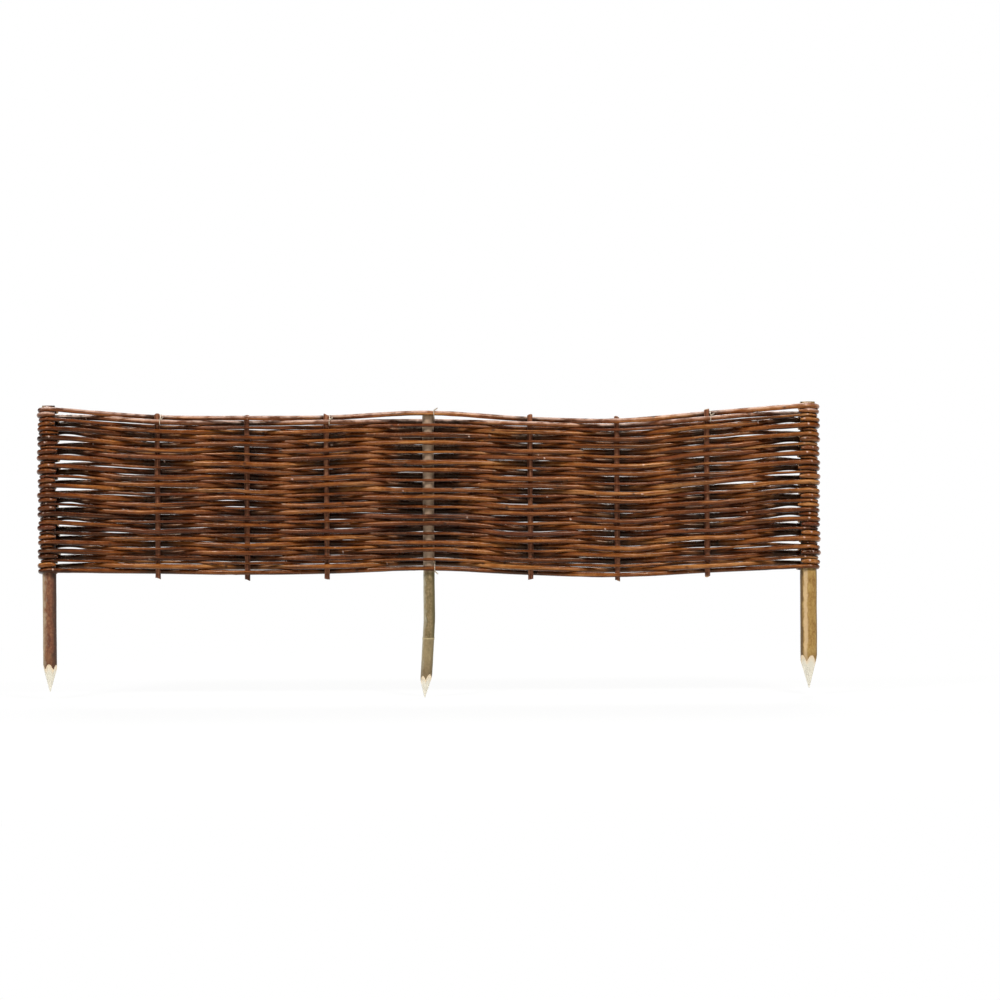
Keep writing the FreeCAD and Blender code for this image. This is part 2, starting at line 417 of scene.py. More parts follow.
# Settling the rods, as a grown weave is less even than its CAD model.
def settle(rods):
    """Evens out the loose places at each upright, and shifts the rods a little up or down there."""
    chance = np.random.default_rng(SETTLE_SEED)
    for place in range(len(rods[0].stations)):
        heights = np.array([rod.stations[place, 2] for rod in rods])
        radii = np.array([rod.radii[place] for rod in rods])
        gaps = np.diff(heights) - radii[1:] - radii[:-1]
        gaps[:-1] += GAP_EVENING * (gaps[:-1].mean() - gaps[:-1])
        evened = heights[0] + np.concatenate([[0.0], np.cumsum(gaps + radii[1:] + radii[:-1])])
        for number in range(HELD_RODS, len(rods) - HELD_RODS):
            rods[number].stations[place, 2] = evened[number] + HEIGHT_PLAY * chance.uniform(-1.0, 1.0)
        pair_rods(rods, place, chance)
    for rod in rods[HELD_RODS:-HELD_RODS]:
        for turn in rod.turns:
            if turn["side"] > 0.0:
                turn["start"] += DROP_PLAY * chance.uniform(-1.0, 1.0)
                leave_stake(rod, turn, chance)
    lift_weave(rods)
    lengthen_tails(rods)


def pair_rods(rods, place, chance):
    """Two rods in front of an upright draw together over a thin one. Rods behind it lie in the gaps left."""
    for below, behind, above in zip(rods[HELD_RODS:], rods[HELD_RODS + 1:], rods[HELD_RODS + 2:-HELD_RODS]):
        if behind.stations[place, 1] > 0.0 and behind.radii[place] < THIN_ROD:
            shift = chance.uniform(*PAIRING) * (above.stations[place, 2] - below.stations[place, 2]) / 2.0
            below.stations[place, 2] += shift
            above.stations[place, 2] -= shift
    for below, behind, above in zip(rods[HELD_RODS - 1:], rods[HELD_RODS:-HELD_RODS], rods[HELD_RODS + 1:]):
        if behind.stations[place, 1] > 0.0:
            low = below.stations[place, 2] + below.radii[place]
            high = above.stations[place, 2] - above.radii[place]
            behind.stations[place, 2] = (low + high) / 2.0


def lift_weave(rods):
    """Lifts the weave a little on the left, and its lower edge into an arch at the middle stake."""
    foot = rods[0].stations[:, 2].min()
    for rod in rods:
        for row in (rod.stations, rod.rises):
            share = np.clip(row[:, 0] / left_axis, 0.0, 1.0)
            low = np.clip(1.0 - (row[:, 2] - foot) / ARCH_HEIGHT, 0.0, 1.0)
            row[:, 2] += LEFT_LIFT * np.sin(math.pi * share) ** 2
            row[:, 2] += MIDDLE_ARCH * low * bell(row[:, 0] - MIDDLE_AXIS, ARCH_REACH)


def leave_stake(rod, turn, chance):
    """From behind an end stake some rods rise at once to their place, and others stay low for longer."""
    rise, away = QUICK_RISE
    if chance.random() > CLOSED_SHARE:
        rise = LATE_RISE[0]
        away = chance.uniform(*LATE_RISE[1:])
    place = [turn["axis"] - turn["outward"] * away, 0.0, turn["start"] + rise]
    rod.rises = np.vstack([rod.rises, place])


def lengthen_tails(rods):
    """The cut tails are not all alike in length."""
    chance = np.random.default_rng(TAIL_SEED)
    for rod in rods:
        for turn in rod.turns:
            turn["longer"] = chance.uniform(*TAIL_LENGTHENING)


# The smooth line of a rod.
def smooth_heights(x, points):
    """Heights on a smooth curve through the given points."""
    points = points[np.argsort(points[:, 0])]
    slopes = np.gradient(points[:, 2], points[:, 0])
    first, t = stretch_at(x, points[:, 0])
    width = points[first + 1, 0] - points[first, 0]
    bend = (t ** 3 - 2.0 * t * t + t) * slopes[first] + (t ** 3 - t * t) * slopes[first + 1]
    return points[first, 2] + (points[first + 1, 2] - points[first, 2]) * ease(t) + bend * width


def run_points(rod):
    """Points on a rod from end stake to end stake: it passes each upright straight along the panel."""
    ends = [[turn["axis"], turn["side"] * turn_reach(turn), turn["start"]] for turn in rod.turns]
    touches = np.vstack([ends[0], rod.stations, ends[1]])
    radii = np.concatenate([[rod.turns[0]["radius"]], rod.radii, [rod.turns[1]["radius"]]])
    x = np.linspace(left_axis, right_axis, int((right_axis - left_axis) / ROD_STEP))
    first, t = stretch_at(x, touches[:, 0])
    y = touches[first, 1] + (touches[first + 1, 1] - touches[first, 1]) * ease(t)
    z = smooth_heights(x, np.vstack([touches, rod.rises]))
    return np.column_stack([x, y, z, np.interp(x, touches[:, 0], radii)])


def turn_reach(turn):
    """Distance of a turn's middle line from its stake, so that the fuller bark stays in the CAD turn."""
    return turn["reach"] - (TURN_FULLNESS - 1.0) * turn["radius"]


def turn_points(turn):
    """Points on a rod's turn around an end stake, from where it meets the stake to its cut tail."""
    angles = np.linspace(0.0, math.pi, TURN_STEPS)[1:]
    x = turn["axis"] + turn["outward"] * turn_reach(turn) * np.sin(angles)
    y = turn["side"] * turn_reach(turn) * np.cos(angles)
    z = turn["start"] + (turn["finish"] - turn["start"]) * angles / math.pi
    bend = np.column_stack([x, y, z])
    end_place = turn["tail"][0] - turn["outward"] * turn["longer"]
    tail_end = np.array([end_place, (1.0 - TAIL_TUCK) * bend[-1, 1], turn["tail"][2]])
    shares = np.linspace(1.0 / TAIL_STEPS, 1.0, TAIL_STEPS)
    tail = bend[-1] + shares[:, None] * (tail_end - bend[-1])
    radii = turn["radius"] * np.concatenate([np.ones(len(bend)), 1.0 - TAIL_TAPER * shares ** 2])
    return np.column_stack([np.vstack([bend, tail]), radii])


def rod_line(rod):
    """Distances along a rod at even steps, with its middle and radius there."""
    rows = np.vstack([turn_points(rod.turns[0])[::-1], run_points(rod), turn_points(rod.turns[1])])
    lengths = np.linalg.norm(np.diff(rows[:, :3], axis=0), axis=1)
    along = np.concatenate([[0.0], np.cumsum(lengths)])
    even = np.linspace(0.0, along[-1], int(along[-1] / ROD_STEP) + 1)
    return even, np.column_stack([np.interp(even, along, column) for column in rows.T])


def weave_freedom(line):
    """Nought at the end stakes and at the edges of the weave, which the ties hold, and one well inside."""
    from_end = np.minimum(line[:, 0] - left_axis, right_axis - line[:, 0]) / FREE_LENGTH
    edges = (lower_edge.stations, upper_edge.stations)
    below, above = (np.interp(line[:, 0], edge[:, 0], edge[:, 2]) for edge in edges)
    from_edge = np.minimum(line[:, 2] - below, above - line[:, 2]) / FREE_HEIGHT
    return np.clip(from_end, 0.0, 1.0) * np.clip(from_edge - HELD_SHARE, 0.0, 1.0)


def weave_drift(line):
    """Slow rise and fall that neighbouring rods share."""
    places = line[:, [0, 2]] * np.array(DRIFT_SCALE)
    return WEAVE_DRIFT * np.array([noise.noise(Vector((x, z, DRIFT_LAYER))) for x, z in places])


# Mesh pieces.
def make_piece(name, points, faces, materials, material_index, smooth, values):
    """A mesh object on the root body, with its materials and named values at its points."""
    mesh = bpy.data.meshes.new(name)
    mesh.from_pydata([tuple(point) for point in points], [], faces)
    for material in materials:
        mesh.materials.append(material)
    mesh.polygons.foreach_set("material_index", material_index)
    mesh.polygons.foreach_set("use_smooth", smooth)
    for key, data in values.items():
        kind, field = ("FLOAT_VECTOR", "vector") if np.ndim(data) == 2 else ("FLOAT", "value")
        mesh.attributes.new(key, kind, "POINT").data.foreach_set(field, np.ravel(data))
    mesh.update()
    piece = bpy.data.objects.new(name, mesh)
    bpy.context.scene.collection.objects.link(piece)
    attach(piece, "root")
    return piece


def grid_faces(rows, sides, closed=False):
    """Quads between neighbouring rings of points, also from last to first if closed."""
    faces = []
    for row in range(rows if closed else rows - 1):
        low, high = row * sides, (row + 1) % rows * sides
        for k in range(sides):
            ahead = (k + 1) % sides
            faces.append((low + k, low + ahead, high + ahead, high + k))
    return faces


def end_caps(rows, sides):
    """Fans of triangles that close a tube. The middles of its ends follow the points of its rings."""
    count = rows * sides
    last = count - sides
    pairs = [(k, (k + 1) % sides) for k in range(sides)]
    return [(b, a, count) for a, b in pairs] + [(last + a, last + b, count + 1) for a, b in pairs]


def make_tube(node, points, materials, values):
    """A rod that stands for a CAD node: rings of points in bark, closed by a cut at both ends."""
    rings, sides = points.shape[:2]
    flat = np.vstack([points.reshape(-1, 3), [points[0].mean(axis=0), points[-1].mean(axis=0)]])
    walls = grid_faces(rings, sides)
    caps = end_caps(rings, sides)
    index = [0] * len(walls) + [1] * len(caps)
    smooth = [True] * len(walls) + [False] * len(caps)
    return make_piece(node + "_willow", flat, walls + caps, materials, index, smooth, values)


def with_ends(data, end):
    """Values at the points of a rod's rings, and at the middles of its ends."""
    return np.concatenate([np.ravel(data), [end, end]])


def bark_space(along, aside, over, offset):
    """Places in the pattern of the bark, also for the middles of the ends."""
    space = np.empty((*aside.shape, 3))
    space[..., 0] = along[:, None] + offset
    space[..., 1] = aside
    space[..., 2] = over
    return np.vstack([space.reshape(-1, 3), np.zeros((2, 3))])


# Weavers.
def tube_frame(line):
    """Directions along, across and up for each point of a line that runs mostly level."""
    forward = np.gradient(line, axis=0)
    forward /= np.linalg.norm(forward, axis=1)[:, None]
    across = np.cross(UP, forward)
    across /= np.linalg.norm(across, axis=1)[:, None]
    return forward, across, np.cross(forward, across)


def knots_along(chance, along, angles):
    """Swelling and dark scar of the bud knots, for each point of a rod's rings."""
    swelling = np.zeros((len(along), len(angles)))
    scar = np.zeros((len(along), len(angles)))
    place = KNOT_SPACING * chance.random()
    turn = chance.uniform(0.0, math.tau)
    while place < along[-1]:
        near = bell(along - place, KNOT_LENGTH)[:, None]
        on_side = bell(angle_apart(angles, turn), KNOT_WIDTH)
        size = chance.uniform(*KNOT_SIZES)
        swelling += size * near * (KNOT_RING + (1.0 - KNOT_RING) * on_side)
        scar += size * near ** 2 * on_side ** 2
        place += KNOT_SPACING * chance.uniform(*KNOT_STEPS)
        turn += KNOT_TURN
    return swelling, np.clip(scar, 0.0, 1.0)


def rod_thickness(chance, along, line, radius, free, angles):
    """Distance of a rod's surface from its middle, and its knot scars."""
    swelling, scar = knots_along(chance, along, angles)
    ridges = RIDGE_SIZE * np.sin(2.0 * angles + chance.uniform(0.0, RIDGE_TURN))
    uneven = THICKNESS_PLAY * slow_curve(chance, along, THICKNESS_LENGTH)[:, None]
    behind = part_way(line[:, 1], *BEHIND)[:, None]
    fullness = FRONT_FULLNESS + (BACK_FULLNESS - FRONT_FULLNESS) * behind
    fullness = fullness + uneven + ridges + KNOT_SWELLING * swelling
    most = TURN_FULLNESS + (MOST_FULLNESS - TURN_FULLNESS) * free
    thick = radius[:, None] * np.minimum(fullness, most[:, None]) + BACK_BARK * behind * free[:, None]
    return thick, scar


def painted_inner_shade(line, points, thick):
    """Painted shade in the recesses: one where a rod's surface faces the middle of the panel, nought on its
    outside and where rods cross.
    """
    depth = line[:, 1][:, None]
    facing = -np.sign(depth) * (points[..., 1] - depth) / thick
    inside = np.clip(np.abs(depth) / INNER_DEPTH, 0.0, 1.0) ** INNER_POWER
    return np.clip(facing * INNER_SLOPE + INNER_SPREAD, 0.0, 1.0) * inside


def painted_groove_shade(angles):
    """Painted shade in the grooves between rods: strong along a rod's underside and weaker along its top."""
    below, above = -np.sin(angles), np.sin(angles)
    painted_shade = np.zeros(len(angles))
    for facing, (start, full, share) in ((below, UNDERSIDE), (above, TOPSIDE)):
        painted_shade = np.maximum(painted_shade, share * part_way(facing, start, full))
    return painted_shade


def painted_turn_glints(rod, line, points, thick, angles):
    """Painted glints: pale spots where a rod bends hard in front of an end stake or behind it."""
    chance = np.random.default_rng(MARK_SEED + rod.number)
    depth = line[:, 1][:, None]
    outside = np.clip(np.sign(depth) * (points[..., 1] - depth) / thick, 0.0, 1.0)
    rise, spread = MARK_RISE
    outside = outside * bell(np.sin(angles) - rise, spread)
    marks = np.zeros_like(outside)
    for turn, share in zip(rod.turns, MARK_SHARES):
        for side in (-1.0, 1.0):
            place = turn["axis"] + turn["outward"] * chance.uniform(*MARK_PLACE)
            near = bell(points[..., 0] - place, MARK_LENGTH) * (side * depth > 0.0)
            marks = np.maximum(marks, near * outside * (chance.random() < share))
    return marks


def bud_marks(rod, along, angles):
    """Small pale buds, here and there around a rod."""
    chance = np.random.default_rng(BUD_SEED + rod.number)
    marks = np.zeros((len(along), len(angles)))
    place = BUD_SPACING * chance.random()
    while place < along[-1]:
        near = bell(along - place, BUD_LENGTH)[:, None]
        on_side = bell(angle_apart(angles, chance.uniform(0.0, math.tau)), BUD_WIDTH)
        marks = np.maximum(marks, chance.uniform(*BUD_STRENGTH) * near * on_side)
        place += BUD_SPACING * chance.uniform(*BUD_STEPS)
    return marks


def painted_rim_highlights(rod, points, angles):
    """Painted highlights: bark made pale along the top edge of the weave and on the outside of the turns."""
    beyond = np.maximum(left_axis - points[..., 0], points[..., 0] - right_axis)
    painted_highlight_share = PAINTED_RIM_HIGHLIGHT * part_way(beyond, *PAINTED_RIM_REACH)
    if rod.number >= upper_edge.number - 1:
        top = np.clip(TOP_HIGHLIGHT_SLOPE * np.sin(angles) + TOP_HIGHLIGHT_SPREAD, 0.0, 1.0)
        painted_highlight_share = np.maximum(painted_highlight_share, top)
    return painted_highlight_share


def cut_ends(chance, points, line, radius, aside, forward, across):
    """Slanting cuts at both ends of a rod. The ring beside a cut moves with it."""
    for end, sense in ((0, 1.0), (-1, -1.0)):
        slant = CUT_SLANT * chance.uniform(*CUT_PLAY)
        facing = np.sign(line[end, 1]) * np.sign(across[end, 1])
        shorter = slant * (radius[end] - facing * aside[end])
        points[end] += (sense * shorter)[:, None] * forward[end][None, :]
    for end, beside in ((0, 1), (-1, -2)):
        points[beside] = 0.5 * (points[end] + points[2 * beside - end])


def rod_tones(chance, along, x):
    """How light and how reddish a rod is along its length."""
    tone = np.clip(ROD_TONE + ROD_TONE_SPREAD * chance.standard_normal(), *ROD_TONE_LIMITS)
    tone = tone + SIDE_TONE * x / right_axis
    tone = tone + LEFT_END_TONE * (x < left_axis + END_ZONE)
    tone = tone + RIGHT_END_TONE * (x > right_axis - END_ZONE)
    tone = np.clip(tone + TONE_PLAY * slow_curve(chance, along, TONE_LENGTH), 0.0, 1.0)
    mauve = chance.uniform(*MAUVE_RANGE) + MAUVE_PLAY * slow_curve(chance, along, MAUVE_LENGTH)
    return tone, np.clip(mauve, 0.0, 1.0)


def make_rod(rod, bark, cut):
    """A rod of the weave with uneven thickness, knots and slanting cut ends."""
    chance = np.random.default_rng(ROD_SEED + rod.number)
    along, rows = rod_line(rod)
    line, radius = rows[:, :3].copy(), rows[:, 3]
    free = weave_freedom(line)
    line[:, 2] += free * ROD_WANDER * slow_curve(chance, along, ROD_WANDER_LENGTH)
    line[:, 2] += free * weave_drift(line)
    forward, across, upward = tube_frame(line)
    angles = ring_angles(ROD_SIDES) - math.pi / 2.0
    thick, scar = rod_thickness(chance, along, line, radius, free, angles)
    aside = thick * np.cos(angles)
    over = thick * np.sin(angles)
    points = line[:, None, :] + aside[..., None] * across[:, None, :] + over[..., None] * upward[:, None, :]
    # Painted shade in the recesses and grooves, painted highlights along the top edge and outside the turns,
    # and pale buds with painted glints on the turns.
    inner = np.maximum(painted_inner_shade(line, points, thick), painted_groove_shade(angles) * (rod is not upper_edge))
    painted_highlight = painted_rim_highlights(rod, points, angles)
    pale_buds_and_painted_glints = np.maximum(painted_turn_glints(rod, line, points, thick, angles), bud_marks(rod, along, angles))
    cut_ends(chance, points, line, radius, aside, forward, across)
    tone, mauve = rod_tones(chance, along, line[:, 0])
    values = {
        "rod_space": bark_space(along, aside, over, ROD_PATTERN_STEP * rod.number),
        "tone": with_ends(np.repeat(tone, ROD_SIDES), CUT_TONE),
        "mauve": with_ends(np.repeat(mauve, ROD_SIDES), 0.0),
        "scar": with_ends(scar, 0.0),
        "inner": with_ends(inner, 0.0),
        "painted_highlight": with_ends(painted_highlight, 0.0),
        "pale_buds_and_painted_glints": with_ends(pale_buds_and_painted_glints, 0.0),
    }
    piece = make_tube(rod.node, points, [bark, cut], values)
    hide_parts(rod.node)


# Sails.
def make_sail(node, number, bark, cut):
    """A thin upright with uneven bark and slanting cut ends."""
    low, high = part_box(node)
    chance = np.random.default_rng(SAIL_SEED + number)
    radius = (high[0] - low[0]) / 2.0
    heights = np.linspace(low[2], high[2], int((high[2] - low[2]) / ROD_STEP))
    along = heights - low[2]
    angles = ring_angles(ROD_SIDES)
    swelling, scar = knots_along(chance, along, angles)
    uneven = THICKNESS_PLAY * (slow_curve(chance, along, THICKNESS_LENGTH) - 1.0)[:, None]
    thick = radius * (1.0 + uneven + SAIL_KNOTS * KNOT_SWELLING * swelling)
    aside = thick * np.cos(angles)
    over = thick * np.sin(angles)
    points = np.empty((len(heights), ROD_SIDES, 3))
    points[..., 0] = (low[0] + high[0]) / 2.0 + aside
    points[..., 1] = (low[1] + high[1]) / 2.0 + over
    points[..., 2] = heights[:, None]
    for end, sense in ((0, 1.0), (-1, -1.0)):
        turn = chance.uniform(0.0, math.tau)
        slant = chance.uniform(*SAIL_SLANT)
        points[end, :, 2] += sense * slant * radius * (1.0 + np.cos(angles - turn))
    tone = SAIL_TONE + SAIL_TONE_SPREAD * chance.standard_normal() - SAIL_FOOT_DARKNESS * (along < SAIL_FOOT)
    clean = np.zeros(scar.size + 2)
    values = {
        "rod_space": bark_space(along, aside, over, SAIL_PATTERN_STEP * number),
        "tone": with_ends(np.repeat(tone, ROD_SIDES), SAIL_CUT_TONE),
        "mauve": clean + SAIL_MAUVE,
        "scar": with_ends(scar, 0.0),
        "inner": clean,
        "painted_highlight": clean,
        "pale_buds_and_painted_glints": clean,
    }
    piece = make_tube(node, points, [bark, cut], values)
    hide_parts(node)


# Stakes.
def facet_planes(node):
    """The flat cuts at the end of a stake, as outward directions and distances, read from the frame."""
    planes = []
    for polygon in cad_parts[node].data.polygons:
        normal = np.array(polygon.normal)
        if CUT_FACING[0] < normal[2] < CUT_FACING[1]:
            known = any(float(normal @ plane[0]) > SAME_FACING for plane in planes)
            if not known:
                planes.append((normal, float(normal @ np.array(polygon.center))))
    return planes


def upright_rows(low, high):
    """Heights of a stake's rings, closer together along the cut point."""
    shoulder = low + POINT_ZONE
    fine = np.linspace(low, shoulder, int(POINT_ZONE / POINT_STEP), endpoint=False)
    coarse = np.arange(shoulder, high, STAKE_STEP)
    return np.concatenate([fine, coarse, [high]])


def bark_relief(x, y, z, seed):
    """Small hollows and swellings of a stake's bark, about between -1 and 1."""
    across, up = BROAD_RELIEF
    broad = noise.noise(Vector((x * across + seed, y * across, z * up)))
    across, up = FINE_RELIEF
    fine = noise.noise(Vector((x * across, y * across + seed, z * up)))
    return broad + FINE_SHARE * fine


def point_reach(planes, axis, radial, size):
    """Distance from a stake's middle to its bark or cuts: sharp, for the choice of colour, and rounded."""
    cuts = [size]
    for normal, distance in planes:
        facing = float(normal @ radial)
        if facing > LEAST_FACING:
            cuts.append(max((distance - float(normal @ axis)) / facing, LEAST_RADIUS))
    sharp = min(cuts)
    total = sum(math.exp((sharp - cut) / EDGE_ROUNDING) for cut in cuts)
    return sharp, max(sharp - EDGE_ROUNDING * math.log(total), LEAST_RADIUS)


def make_stake(node, foot, seed, ring, materials):
    """A stake with bark, a swelling at its bud ring, a sawn top and a point cut with flat facets."""
    low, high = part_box(node)
    planes = facet_planes(node)
    corners = corner_points(node)
    leg_radius = high[1]
    head_radius = corners[corners[:, 2] > high[2] - TINY, 1].max()
    head_radius += HEAD_FULLNESS * (leg_radius - head_radius)
    tip = corners[corners[:, 2] < low[2] + TINY].mean(axis=0)
    lean = (foot - tip[0]) / (-ELBOW_DEPTH - low[2])
    heights = upright_rows(low[2], high[2])
    points = []
    space = []
    rim = []
    wood = []
    for z in heights:
        axis = np.array([foot - lean * max(0.0, -ELBOW_DEPTH - z), 0.0, z])
        head = min(1.0, max(0.0, (z - HEAD_START) / HEAD_LENGTH))
        plain = leg_radius + (head_radius - leg_radius) * head
        swelling = ring * bell(z - RING_HEIGHT, RING_WIDTH)
        for angle in ring_angles(STAKE_SIDES):
            radial = np.array([math.cos(angle), math.sin(angle), 0.0])
            relief = bark_relief(radial[0] * plain, radial[1] * plain, z, seed)
            size = plain + (BARK_RELIEF * relief + swelling)
            sharp, reach = point_reach(planes, axis, radial, size)
            points.append(axis + radial * reach)
            space.append((radial[0] * reach, radial[1] * reach, z))
            rim.append(size - sharp)
            wood.append(sharp < size - CUT_MARGIN)
    points += [np.mean(points[:STAKE_SIDES], axis=0), np.mean(points[-STAKE_SIDES:], axis=0)]
    space += [(0.0, 0.0, heights[0]), (0.0, 0.0, heights[-1])]
    rim += [FAR_FROM_RIM, FAR_FROM_RIM]
    walls = grid_faces(len(heights), STAKE_SIDES)
    caps = end_caps(len(heights), STAKE_SIDES)
    index = [int(sum(wood[corner] for corner in face) >= 3) for face in walls]
    index += [1] * STAKE_SIDES + [2] * STAKE_SIDES
    smooth = [True] * len(walls) + [False] * len(caps)
    values = {"stake_space": np.array(space), "rim": np.array(rim)}
    piece = make_piece(node + "_willow", points, walls + caps, materials, index, smooth, values)
    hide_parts(node)


# Wire ties.
def rod_at(rod, x):
    """Middle and radius of a rod where it passes a place along the panel."""
    rows = rod_line(rod)[1]
    inner = (rows[:, 0] > left_axis + END_ZONE) & (rows[:, 0] < right_axis - END_ZONE)
    run = rows[inner]
    return np.array([np.interp(x, run[:, 0], run[:, k]) for k in range(1, 4)])


def loop_points(first, second, x):
    """A closed loop of wire round two neighbouring rods."""
    ends = [rod_at(first, x), rod_at(second, x)]
    apart = ends[1][:2] - ends[0][:2]
    heading = math.atan2(apart[1], apart[0])
    reach = max(ends[0][2], ends[1][2]) * LOOP_SLACK + WIRE_RADIUS
    points = []
    for end, start in ((ends[1], -0.5), (ends[0], 0.5)):
        for step in np.linspace(0.0, 1.0, LOOP_STEPS):
            angle = heading + math.pi * (start + step)
            points.append((x, end[0] + reach * math.cos(angle), end[1] + reach * math.sin(angle)))
    return np.array(points)


def twist_points(start, direction, phase):
    """One of the two wire ends that are twisted around each other."""
    steps = np.linspace(0.0, 1.0, TWIST_STEPS)
    turn = math.tau * TWIST_TURNS * steps + phase
    across = np.cross(direction, np.array([1.0, 0.0, 0.0]))
    across /= np.linalg.norm(across)
    third = np.cross(direction, across)
    middle = start + steps[:, None] * direction * TWIST_LENGTH
    around = np.cos(turn)[:, None] * across + np.sin(turn)[:, None] * third
    return middle + WIRE_RADIUS * TWIST_SPREAD * around


def wire_tube(points, closed):
    """Points and faces of a round wire along a line."""
    forward = np.roll(points, -1, axis=0) - np.roll(points, 1, axis=0)
    if not closed:
        forward = np.gradient(points, axis=0)
    forward /= np.linalg.norm(forward, axis=1)[:, None]
    side = np.cross(forward, np.array(WIRE_ACROSS))
    side /= np.linalg.norm(side, axis=1)[:, None]
    third = np.cross(forward, side)
    angles = ring_angles(WIRE_SIDES)
    rings = points[:, None, :] + WIRE_RADIUS * (
        np.cos(angles)[None, :, None] * side[:, None, :] + np.sin(angles)[None, :, None] * third[:, None, :])
    return rings.reshape(-1, 3), grid_faces(len(points), WIRE_SIDES, closed)


def tie_places(rods):
    """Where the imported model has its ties: places along the panel, true at the top."""
    corners = corner_points("wire_ties")
    corners = corners[np.argsort(corners[:, 0])]
    breaks = np.where(np.diff(corners[:, 0]) > TIES_APART)[0] + 1
    middle_height = (rods[0].stations[:, 2].mean() + rods[-1].stations[:, 2].mean()) / 2.0
    places = []
    for cluster in np.split(corners, breaks):
        for high in (True, False):
            part = cluster[(cluster[:, 2] > middle_height) == high]
            if len(part) > 0:
                places.append((part[:, 0].mean(), high))
    return places


def tie_strands(rods, x, high):
    """The wires of a tie, true for a closed one: a loop, and two twisted ends at its front."""
    pair = (rods[-1], rods[-2]) if high else (rods[0], rods[1])
    loop = loop_points(*pair, x)
    outward = 1.0 if high else -1.0
    start = loop[np.argmin(loop[:, 1] * FRONT_SHARE - loop[:, 2] * outward)]
    direction = np.array(TOP_TWIST if high else FOOT_TWIST)
    direction /= np.linalg.norm(direction)
    ends = [(twist_points(start, direction, phase), False) for phase in (0.0, math.pi)]
    return [(loop, True)] + ends


def make_ties(rods, material):
    """All wire ties as one piece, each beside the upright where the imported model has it."""
    points = []
    faces = []
    for x, high in tie_places(rods):
        for strand, closed in tie_strands(rods, x, high):
            ring, quads = wire_tube(strand, closed)
            offset = sum(len(part) for part in points)
            points.append(ring)
            faces.extend(tuple(corner + offset for corner in quad) for quad in quads)
    flat = np.vstack(points)
    index = [0] * len(faces)
    smooth = [True] * len(faces)
    piece = make_piece("wire_ties_twisted", flat, faces, [material], index, smooth, {"wire_space": flat})
    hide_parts("wire_ties")


# Materials.
class Shader:
    """A material's node tree, with a short call for each kind of node that the barks need."""

    def __init__(self, name):
        self.material = bpy.data.materials.new(name)
        self.material.use_nodes = True
        self.tree = self.material.node_tree
        self.surface = self.tree.nodes["Principled BSDF"]

    def node(self, kind, inputs=(), **settings):
        """A new node with its settings, and with values or links at its inputs."""
        made = self.tree.nodes.new("ShaderNode" + kind)
        for key, value in settings.items():
            setattr(made, key, value)
        for key, value in dict(inputs).items():
            self.put(made.inputs[key], value)
        return made

    def put(self, socket, value):
        """Links a socket to another node's output, or sets its value."""
        if isinstance(value, bpy.types.NodeSocket):
            self.tree.links.new(value, socket)
        else:
            socket.default_value = value

    def value(self, name):
        return self.node("Attribute", attribute_name=name).outputs["Fac"]

    def vector(self, name):
        return self.node("Attribute", attribute_name=name).outputs["Vector"]

    def scaled(self, vector, scale):
        return self.node("VectorMath", {0: vector, 1: scale}, operation="MULTIPLY").outputs[0]

    def noise(self, vector, scale, detail, roughness=0.55):
        place = self.scaled(vector, scale)
        inputs = {"Vector": place, "Scale": 1.0, "Detail": detail, "Roughness": roughness}
        return self.node("TexNoise", inputs).outputs["Fac"]

    def cells(self, vector, scale):
        inputs = {"Vector": self.scaled(vector, scale), "Scale": 1.0}
        return self.node("TexVoronoi", inputs).outputs["Distance"]

    def math(self, operation, first, second):
        return self.node("Math", {0: first, 1: second}, operation=operation).outputs[0]

    def span(self, value, low, high, new_low, new_high):
        """Maps a range of values onto another one, and holds what lies outside."""
        return self.node("MapRange", enumerate((value, low, high, new_low, new_high))).outputs[0]

    def ramp(self, value, stops):
        made = self.node("ValToRGB", {0: value})
        points = made.color_ramp.elements
        while len(points) < len(stops):
            points.new(0.5)
        for point, (place, tint) in zip(points, stops):
            point.position = place
            point.color = tint
        return made.outputs[0]

    def mix(self, share, first, second):
        """Goes over from the first colour to the second one."""
        return self.node("Mix", {0: share, 6: first, 7: second}, data_type="RGBA").outputs[2]

    def bump(self, height, strength, distance):
        inputs = {"Height": height, "Strength": strength, "Distance": distance}
        self.put(self.surface.inputs["Normal"], self.node("Bump", inputs).outputs[0])

    def finish(self, tint, roughness, specular):
        self.put(self.surface.inputs["Base Color"], tint)
        self.put(self.surface.inputs["Roughness"], roughness)
        self.surface.inputs["Specular IOR Level"].default_value = specular
        return self.material


# Patterns, as repeats in a metre: along and twice across on rods, twice across and up on stakes and cuts.
ROD_STREAKS = (14.0, 430.0, 430.0)
ROD_MOTTLE = (60.0, 110.0, 110.0)
ROD_CRACKS = (150.0, 1500.0, 1500.0)
ROD_PORES = (190.0, 330.0, 330.0)
ROD_GROOVES = (9.0, 380.0, 380.0)
WOOD_GRAIN = (260.0, 260.0, 14.0)
WOOD_TONES = (120.0, 120.0, 30.0)
STAKE_LINES = (420.0, 420.0, 30.0)
STAKE_MOTTLE = (130.0, 130.0, 75.0)
STAKE_FLECKS = (420.0, 420.0, 560.0)
STAKE_SPECKLES = (330.0, 330.0, 260.0)
WIRE_PATCHES = (700.0, 700.0, 700.0)

# Tones of the rods' bark from dark to light, and its sheen, which is a warm one.
WEAVER_STOPS = [
    (0.0, colour(44, 16, 3)),
    (0.3, colour(90, 41, 11)),
    (0.55, colour(123, 63, 20)),
    (0.8, colour(153, 90, 36)),
    (1.0, colour(188, 128, 72)),
]
SAIL_STOPS = [
    (0.0, colour(76, 42, 27)),
    (0.4, colour(136, 84, 58)),
    (0.7, colour(166, 110, 78)),
    (1.0, colour(194, 142, 108)),
]
WEAVER_ROUGHNESS = 0.18
SAIL_ROUGHNESS = 0.46
WARM_SHEEN = (1.0, 0.76, 0.55, 1.0)


